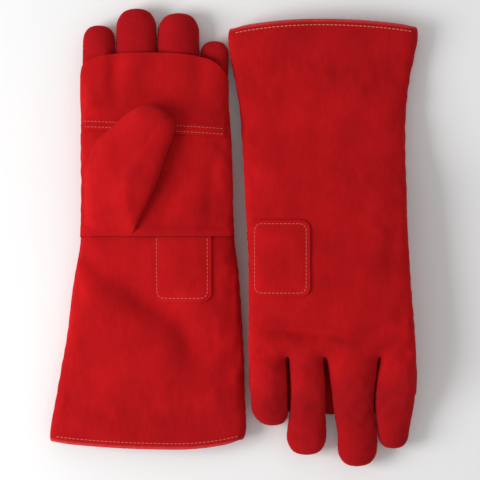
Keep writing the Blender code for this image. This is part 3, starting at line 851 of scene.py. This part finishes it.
def thumb(glove, palm):
    """A closed, padded thumb that lies over the palm, and rises out of it at its root."""
    bm = bmesh.new()
    rows = len(THUMB_SECTIONS) - 1
    row_of = bm.verts.layers.int.new("row")
    place_of = bm.verts.layers.int.new("place")
    level_of = bm.verts.layers.int.new("level")
    bmesh.ops.create_grid(bm, x_segments=rows, y_segments=THUMB_ACROSS, size=0.5)
    for vert in bm.verts:
        vert[row_of] = round((vert.co.x + 0.5) * rows)
        vert[place_of] = round((vert.co.y + 0.5) * THUMB_ACROSS)
    made = bmesh.ops.extrude_face_region(bm, geom=bm.faces[:])["geom"]
    for item in made:
        if isinstance(item, bmesh.types.BMVert):
            item[level_of] = 1
    shift = glove.across(238, 0) - THUMB_DRAWN_AT
    for vert in bm.verts:
        row, place, upper = vert[row_of], vert[place_of], vert[level_of]
        (x0, y0), (x1, y1) = THUMB_SECTIONS[row]
        share = place / THUMB_ACROSS
        bowed = share + THUMB_CROWDING * math.sin(2 * math.pi * share)
        x, y = mix(x0, x1, bowed), mix(y0, y1, bowed)
        x += shift * (1 - row / rows)
        hit, _ = laid_on(palm, "palm", x, min(max(y, PALM_HEM + 8), SEAM - 4))
        under = hit.z + THUMB_STEP * ramp(280, 297, y)
        soft = 1 - 0.5 * ramp(0.45, 1.0, share) * (1 - ramp(4, 7.5, row))
        low_end = mix(0.06, 1.0, ramp(195, 240, y)) if row < 4 else mix(0.3, 1.0, ramp(192, 226, y))
        tall = smooth(THUMB_HEIGHTS, row) * soft * low_end
        rim = THUMB_RIM if place in (0, THUMB_ACROSS) or row == rows else 1.0
        sunk = 0.0
        if place == 0:
            sunk = 1 - ramp(3.2, 4.8, row)
        if place == THUMB_ACROSS:
            sunk = 1 - ramp(1.2, 3.2, row)
        if row == 0:
            sunk = THUMB_ROOT_SUNK
        if upper:
            z = under + mix(0.5 + tall * rim, THUMB_SUNK[0], sunk)
        else:
            z = under + mix(0.4 + tall * (1 - rim) * 0.25, THUMB_SUNK[1], sunk)
        vert.co = Vector((x, y, z))
    bmesh.ops.recalc_face_normals(bm, faces=bm.faces)
    fit_cage(bm, 2, 0.8)
    bm = subdivided(bm, 4)
    bm.normal_update()
    moves = []
    for vert in bm.verts:
        place = vert.co / THUMB_SWELLS[0] + Vector((5, 1, 8)) * glove.turn
        uneven = THUMB_SWELLS[1] * noise.noise(place)
        moves.append(vert.normal * uneven * ramp(30, 36, vert.co.z))
    for vert, move in zip(bm.verts, moves):
        vert.co += move
    blend_at = [glove.place(Vector((x + shift, 240, 0))) for x in THUMB_BLEND]
    blend = ("hand", "thumb", Vector((blend_at[0].x, 0, 0)), Vector((blend_at[1].x, 0, 0)))
    finish(glove, bm, "folded_thumb", SUEDE, blend, None, ("thumb", "thumb_lining"), 0.0)


# ---- patches ----
PATCH_CORNER = 9.0
PATCH_STITCH_INSET = 3.4
PATCH_PUFF = 0.7  # how much its middle stands up
PATCH_PUCKER = (0.35, 1.2)  # how deep the stitches pull it in, and how wide
VEIN_PATCH_X = (-2.7, 50.0)
VEIN_PATCH_Y = (134.7, 200.0)  # it ends under the palm's turned edge
BACK_PATCH_FROM_SIDE = 2.2  # from the little finger's side
BACK_PATCH_WIDTH = 53.0
BACK_PATCH_Y = (183.6, 252.7)
BACK_PATCH_MIDDLE = 215  # y where the side is measured
SEAM_ROW_OFFSET = 2.5  # of each row of the palm seam's stitches from the seam's middle


def rounded(x, y, half_x, half_y, corner):
    """Draws the corners of a rectangle's grid in to round ones. x and y are from its middle."""
    over_x, over_y = (abs(x) - half_x + corner) / corner, (abs(y) - half_y + corner) / corner
    if over_x <= 0 or over_y <= 0:
        return x, y
    round_x = over_x * math.sqrt(1 - over_y * over_y / 2)
    round_y = over_y * math.sqrt(1 - over_x * over_x / 2)
    x = math.copysign(half_x - corner + corner * round_x, x)
    y = math.copysign(half_y - corner + corner * round_y, y)
    return x, y


def patch(glove, name, face, tree, x_range, y_range):
    """A patch with round corners, sewn over the leather with one row of stitches."""
    bm = bmesh.new()
    bmesh.ops.create_grid(bm, x_segments=36, y_segments=36, size=0.5)
    centre = ((x_range[0] + x_range[1]) / 2, (y_range[0] + y_range[1]) / 2)
    half_x, half_y = (x_range[1] - x_range[0]) / 2, (y_range[1] - y_range[0]) / 2
    up = 1 if face == "palm" else -1
    for vert in bm.verts:
        x, y = rounded(vert.co.x * 2 * half_x, vert.co.y * 2 * half_y, half_x, half_y, PATCH_CORNER)
        hit, normal = laid_on(tree, face, centre[0] + x, centre[1] + y)
        from_edge = min(half_x - abs(x), half_y - abs(y))
        off = (from_edge - PATCH_STITCH_INSET) / PATCH_PUCKER[1]
        pucker = PATCH_PUCKER[0] * math.exp(-(off**2))
        under_hem = ramp(PALM_HEM - 14, PALM_HEM - 4, centre[1] + y) * (up > 0)
        puff = PATCH_PUFF * ramp(3, 14, from_edge) * (1 - under_hem)
        vert.co = hit + normal * (LAP + LEATHER + puff - pucker)
    bm.normal_update()
    if sum(f.normal.z for f in bm.faces) * up < 0:
        bmesh.ops.reverse_faces(bm, faces=bm.faces)
    top = tree_of(bm)
    finish(glove, bm, f"sewn_{name}", SUEDE, wrist_bend(glove), None, (name,), LEATHER)
    inner = (half_x - PATCH_STITCH_INSET, half_y - PATCH_STITCH_INSET)
    corner = PATCH_CORNER - PATCH_STITCH_INSET
    path = []
    for k, (sx, sy) in enumerate(((1, 1), (-1, 1), (-1, -1), (1, -1))):
        for step in range(7):
            turn = math.pi / 2 * (k + step / 6)
            x = centre[0] + sx * (inner[0] - corner) + corner * math.cos(turn)
            y = centre[1] + sy * (inner[1] - corner) + corner * math.sin(turn)
            path.append((x, y))
    path.append(path[0])
    if up > 0:
        path = [point for point in path if point[1] < PALM_HEM - 1.5]
        path.sort(key=lambda point: math.atan2(point[0] - centre[0], point[1] - centre[1]) % math.tau)
        path = [(path[0][0], PALM_HEM - 1.0), *path, (path[-1][0], PALM_HEM - 1.0)]
    runs = [(top, path)]
    bend = wrist_bend(glove)
    node = f"{name}_stitching"
    stitches(glove, f"{name}_stitches", face, runs, PATCH_STITCH, node, bend, None, SEAM_THREAD)


# ---- stitching ----
# thread radius, stitch length and pitch; the thread is a little thicker than real, so that it shows
HEM_STITCH = (0.40, 3.2, 3.7)
PATCH_STITCH = (0.34, 3.1, 3.6)
SEAM_STITCH = (0.30, 2.7, 3.3)
THREAD_RISE = 0.1  # of a thread's middle over the leather
HEM_RUN = (0.035, 0.93)  # where the hem's stitches start, and their length, as shares of its width
HEM_POINTS = 40
SEAM_FROM_SIDE = 3
SEAM_POINTS = 20


def stitches(glove, name, face, runs, stitch, stands_for, blend, body, look):
    """Rows of lockstitches: each run is a surface and a path of (x, y) points across it."""
    bm = bmesh.new()
    radius, length, pitch = stitch
    for tree, path in runs:
        lengths = [0.0]
        for a, b in zip(path, path[1:]):
            lengths.append(lengths[-1] + math.dist(a, b))
        count = int(lengths[-1] / pitch)

        def at(distance):
            k = next(i for i, reach in enumerate(lengths[1:]) if distance <= reach + 1e-6)
            share = (distance - lengths[k]) / (lengths[k + 1] - lengths[k])
            return mix(path[k][0], path[k + 1][0], share), mix(path[k][1], path[k + 1][1], share)

        for number in range(count):
            start = (number + 0.5) * lengths[-1] / count
            ends = [laid_on(tree, face, *at(start + half)) for half in (-length / 2, length / 2)]
            if any(hit is None for hit, _ in ends):
                continue
            (one, normal), (other, _) = ends
            along = (other - one).normalized()
            side = normal.cross(along).normalized()
            out = along.cross(side)
            size = Vector((radius, length / 2, radius))
            turned = Matrix((side, along, out)).transposed().to_4x4()
            centre = (one + other) / 2 + normal * THREAD_RISE
            matrix = Matrix.Translation(centre) @ turned @ Matrix.Diagonal((*size, 1))
            bmesh.ops.create_uvsphere(bm, u_segments=8, v_segments=6, radius=1, matrix=matrix)
    finish(glove, bm, name, look, blend, body, (stands_for,))


def hem_path(glove):
    """The line of the hem's stitches across the cuff."""
    shares = [HEM_RUN[0] + HEM_RUN[1] * k / HEM_POINTS for k in range(HEM_POINTS + 1)]
    return [(glove.across(HEM_INSET, share), HEM_INSET + glove.hem_line(share)) for share in shares]


def lining(glove, skin):
    """Cotton inside the cuff and hand, seen through the mouth."""
    planes = (((0, HEM_TURN + 8.5, 0), (0, 1, 0)), ((0, SLEEVE_END - 4, 0), (0, -1, 0)))
    bm = layer_over(skin, planes, lambda vert: -LEATHER - LAP)
    nodes = ("cuff_lining", "hand_lining")
    finish(glove, bm, "lining", COTTON, wrist_bend(glove), None, nodes, COTTON_WALL)


def build_glove(glove):
    """All of one glove, from its lining out."""
    skin = make_skin(glove)
    tree = tree_of(skin)
    path = hem_path(glove)
    hem_thread = SEAM_THREAD if glove.palm_up else THREAD
    lining(glove, skin)
    palm = palm_panel(glove, skin)
    upper = upper_palm(glove, (tree, palm))
    thumb(glove, palm)
    patch(glove, "vein_patch", "palm", tree, VEIN_PATCH_X, VEIN_PATCH_Y)
    high = glove.across(BACK_PATCH_MIDDLE, 1) - BACK_PATCH_FROM_SIDE
    patch(glove, "back_patch", "back", tree, (high - BACK_PATCH_WIDTH, high), BACK_PATCH_Y)
    runs = [(tree, path)]
    for face in ("palm", "back"):
        name = f"hem_stitches_{face}"
        stitches(glove, name, face, runs, HEM_STITCH, "hem_stitching", None, "cuff", hem_thread)
    for row, offset in (("lower", -SEAM_ROW_OFFSET), ("upper", SEAM_ROW_OFFSET)):
        low = glove.across(PALM_TOP, 0) + SEAM_FROM_SIDE
        high = glove.across(PALM_TOP, 1) - SEAM_FROM_SIDE
        xs = [mix(low, high, k / SEAM_POINTS) for k in range(SEAM_POINTS + 1)]
        rows = [(x, seam_y(x) + offset) for x in xs]
        name = f"palm_seam_{row}_stitches"
        node = f"palm_seam_{row}_row"
        runs = [(upper, rows)]
        stitches(glove, name, "palm", runs, SEAM_STITCH, node, None, "hand", SEAM_THREAD)
    split_skin(glove, skin)
    skin.free()


def linear(hex_colour):
    """An sRGB hex colour as linear RGBA."""
    values = [int(hex_colour[k : k + 2], 16) / 255 for k in (0, 2, 4)]
    return tuple(v / 12.92 if v <= 0.04045 else ((v + 0.055) / 1.055) ** 2.4 for v in values) + (1.0,)


def add_node(tree, kind, settings=None, inputs=None):
    """Adds a node, with its settings, and its inputs' values or links."""
    made = tree.nodes.new(kind)
    for key, value in (settings or {}).items():
        setattr(made, key, value)
    for key, value in (inputs or {}).items():
        if isinstance(value, bpy.types.NodeSocket):
            tree.links.new(value, made.inputs[key])
        else:
            made.inputs[key].default_value = value
    return made


def shader_of(name):
    made = bpy.data.materials.new(name)
    made.use_nodes = True
    return made, made.node_tree, made.node_tree.nodes["Principled BSDF"]


DYE = ("960a0f", "b40e13", "cc161b")  # where the hide took the dye darkest, most of it, and palest
DEEPER_SUEDE_AND_SHADE = (0.80, 0.86, 1.0, 1.0)  # and what the fingers' deeper suede and painted shade take from the colour, over the fingers
PAINTED_HEM_SHADE = (0.22, 0.2, 0.25, 1.0)  # and what painted shade takes along the palm's turned edge, where the hem stands over the cuff
WORN_LEATHER = "e2565a"  # pale, where an edge has rubbed
NAP_SHEEN = "e8303a"


def red_suede():
    """Split cowhide, dyed red and left with its nap up.

    It is matt and soft, blotchy where the hide took the dye unevenly, with faint strokes where hands
    have laid the nap one way, and paler on its worn edges. Painted shade darkens the fingers, mixed with
    their deeper suede, and draws a dark line along the palm's turned edge.
    """
    made, tree, shader = shader_of("red_split_cowhide")
    place = add_node(tree, "ShaderNodeTexCoord").outputs["Object"]
    # dye blotches about 35 mm across
    blotches = add_node(tree, "ShaderNodeTexNoise", {}, {"Vector": place, "Scale": 28.0, "Detail": 3.0})
    # strokes in the nap, about 3 mm wide and 10 mm long
    turned = add_node(
        tree, "ShaderNodeMapping", {}, {"Vector": place, "Rotation": (0, 0, 0.6), "Scale": (1, 0.3, 1)}
    )
    strokes = add_node(
        tree, "ShaderNodeTexNoise", {}, {"Vector": turned.outputs["Vector"], "Scale": 300.0, "Detail": 3.0}
    )
    # the nap's fibres are about 0.1 mm; tufts of 1 mm are as fine as shows
    nap = add_node(tree, "ShaderNodeTexNoise", {}, {"Vector": place, "Scale": 950.0, "Detail": 2.0})
    fine = add_node(
        tree, "ShaderNodeMix", {}, {0: 0.45, 2: strokes.outputs["Fac"], 3: nap.outputs["Fac"]}
    ).outputs[0]
    tone = add_node(tree, "ShaderNodeMix", {}, {0: 0.42, 2: blotches.outputs["Fac"], 3: fine}).outputs[0]
    dye = add_node(tree, "ShaderNodeValToRGB", {}, {"Fac": tone})
    stops = dye.color_ramp.elements
    stops[0].position, stops[0].color = 0.18, linear(DYE[0])
    stops[1].position, stops[1].color = 0.82, linear(DYE[2])
    middle = stops.new(0.5)
    middle.color = linear(DYE[1])
    # deep darkens the fingers: partly their deeper suede, partly painted shade
    depth = add_node(tree, "ShaderNodeAttribute", {"attribute_name": "deep"})
    deepened_and_shaded = add_node(
        tree,
        "ShaderNodeMix",
        {"data_type": "RGBA", "blend_type": "MULTIPLY"},
        {0: depth.outputs["Fac"], 6: dye.outputs["Color"], 7: DEEPER_SUEDE_AND_SHADE},
    ).outputs[2]
    # a dark line of painted shade along the palm's turned edge
    hem_shade_mask = add_node(tree, "ShaderNodeAttribute", {"attribute_name": "hem_shade"})
    hem_shaded = add_node(
        tree,
        "ShaderNodeMix",
        {"data_type": "RGBA", "blend_type": "MULTIPLY"},
        {0: hem_shade_mask.outputs["Fac"], 6: deepened_and_shaded, 7: PAINTED_HEM_SHADE},
    ).outputs[2]
    edges = add_node(tree, "ShaderNodeAttribute", {"attribute_name": "worn"})
    scuffs = add_node(
        tree, "ShaderNodeMath", {"operation": "MULTIPLY"}, {0: edges.outputs["Fac"], 1: fine}
    ).outputs[0]
    colour = add_node(
        tree, "ShaderNodeMix", {"data_type": "RGBA"}, {0: scuffs, 6: hem_shaded, 7: linear(WORN_LEATHER)}
    ).outputs[2]
    bump = add_node(
        tree, "ShaderNodeBump", {}, {"Height": fine, "Strength": 0.5, "Distance": 0.0007}
    )
    tree.links.new(colour, shader.inputs["Base Color"])
    tree.links.new(bump.outputs["Normal"], shader.inputs["Normal"])
    shader.inputs["Roughness"].default_value = 0.96
    shader.inputs["Specular IOR Level"].default_value = 0.12
    shader.inputs["Sheen Weight"].default_value = 0.18
    shader.inputs["Sheen Roughness"].default_value = 0.5
    shader.inputs["Sheen Tint"].default_value = linear(NAP_SHEEN)
    return made


def cotton_thread(name, shaded_groove, ply):
    """Spun cotton sewing thread: matt, with painted shade in the grooves between its plies, where the bump
    dips.
    """
    made, tree, shader = shader_of(name)
    place = add_node(tree, "ShaderNodeTexCoord").outputs["Object"]
    # plies about 0.5 mm apart
    plies = add_node(
        tree, "ShaderNodeTexNoise", {}, {"Vector": place, "Scale": 2000.0, "Detail": 1.0}
    ).outputs["Fac"]
    # the grooves' colour is painted shade, darkest where the plies' bump dips
    colour = add_node(
        tree, "ShaderNodeMix", {"data_type": "RGBA"}, {0: plies, 6: linear(shaded_groove), 7: linear(ply)}
    ).outputs[2]
    bump = add_node(tree, "ShaderNodeBump", {}, {"Height": plies, "Strength": 0.4, "Distance": 0.0002})
    tree.links.new(colour, shader.inputs["Base Color"])
    tree.links.new(bump.outputs["Normal"], shader.inputs["Normal"])
    shader.inputs["Roughness"].default_value = 0.85
    shader.inputs["Specular IOR Level"].default_value = 0.2
    return made


COTTON_GAP_SHADE_AND_THREAD = ("b8ab92", "e4dac6")  # painted shade between the threads, where the weave's bump dips, and the threads' own colour
COTTON_SOIL = "e6dccb"


def cream_cotton():
    """Unbleached cotton drill, woven: matt cream, with a visible thread whose gaps carry painted shade,
    and a few dirty places.
    """
    made, tree, shader = shader_of("cream_cotton_drill")
    place = add_node(tree, "ShaderNodeTexCoord").outputs["Object"]
    # threads 0.5 mm apart are drawn 1.6 mm apart, as fine as shows
    threads = {"Vector": place, "Scale": 196.0, "Distortion": 0.6}
    across = add_node(tree, "ShaderNodeTexWave", {"bands_direction": "X"}, threads)
    along = add_node(tree, "ShaderNodeTexWave", {"bands_direction": "Y"}, threads)
    weave = add_node(
        tree,
        "ShaderNodeMath",
        {"operation": "MULTIPLY"},
        {0: across.outputs["Fac"], 1: along.outputs["Fac"]},
    ).outputs[0]
    soil = add_node(
        tree, "ShaderNodeTexNoise", {}, {"Vector": place, "Scale": 40.0, "Detail": 3.0}
    ).outputs["Fac"]
    # the darker colour between the threads is painted shade
    low, high = (linear(colour) for colour in COTTON_GAP_SHADE_AND_THREAD)
    cloth = add_node(
        tree, "ShaderNodeMix", {"data_type": "RGBA"}, {0: weave, 6: low, 7: high}
    ).outputs[2]
    colour = add_node(
        tree,
        "ShaderNodeMix",
        {"data_type": "RGBA", "blend_type": "MULTIPLY"},
        {0: soil, 6: cloth, 7: linear(COTTON_SOIL)},
    ).outputs[2]
    bump = add_node(tree, "ShaderNodeBump", {}, {"Height": weave, "Strength": 0.5, "Distance": 0.0003})
    tree.links.new(colour, shader.inputs["Base Color"])
    tree.links.new(bump.outputs["Normal"], shader.inputs["Normal"])
    shader.inputs["Roughness"].default_value = 0.92
    shader.inputs["Specular IOR Level"].default_value = 0.2
    return made


TABLE_WHITE = (0.93, 0.93, 0.93, 1)
TABLE_BELOW = 0.0005  # m, so that nothing lies in it
SKY_STRENGTH = 0.52
KEY_POWER = 19  # W
KEY_SIZE = 0.8
KEY_AT = (-1.25, -0.2, 0.9)
CAMERA_AT = (0.0055, -0.0023, 1.625)
SENSOR = 36  # mm
VIEW = (0.4368, 1.6)  # m: the width that the camera takes in, and at what distance


def studio():
    """A white table, an even sky, a soft key light from the left, and a camera straight above."""
    floor_mesh = bpy.data.meshes.new("floor")
    bm = bmesh.new()
    bmesh.ops.create_grid(bm, x_segments=1, y_segments=1, size=3.0)
    bm.to_mesh(floor_mesh)
    bm.free()
    floor = new_object("floor", floor_mesh)
    floor.location.z = -TABLE_BELOW
    paint = bpy.data.materials.new("white_table")
    paint.use_nodes = True
    shader = paint.node_tree.nodes["Principled BSDF"]
    shader.inputs["Base Color"].default_value = TABLE_WHITE
    shader.inputs["Roughness"].default_value = 0.8
    floor_mesh.materials.append(paint)

    world = bpy.data.worlds.new("studio")
    bpy.context.scene.world = world
    world.use_nodes = True
    world.node_tree.nodes["Background"].inputs["Color"].default_value = (1, 1, 1, 1)
    world.node_tree.nodes["Background"].inputs["Strength"].default_value = SKY_STRENGTH

    lamp = bpy.data.lights.new("key", "AREA")
    lamp.energy = KEY_POWER
    lamp.size = KEY_SIZE
    key = bpy.data.objects.new("key", lamp)
    key.location = KEY_AT
    key.rotation_euler = (Vector((0, 0, 0)) - key.location).to_track_quat("-Z", "Y").to_euler()
    bpy.context.scene.collection.objects.link(key)

    lens = bpy.data.cameras.new("camera")
    camera = bpy.data.objects.new("camera", lens)
    camera.location = CAMERA_AT
    lens.sensor_width = SENSOR
    lens.lens = SENSOR * VIEW[1] / VIEW[0]
    bpy.context.scene.collection.objects.link(camera)
    bpy.context.scene.camera = camera


SUEDE = red_suede()
THREAD = cotton_thread("peach_cotton_thread", "c4604c", "eaa284")
SEAM_THREAD = cotton_thread("dye_stained_cotton_thread", "b8443c", "e08070")
COTTON = cream_cotton()
build_glove(LEFT)
build_glove(RIGHT)
bpy.context.scene.view_settings.view_transform = "Standard"
studio()
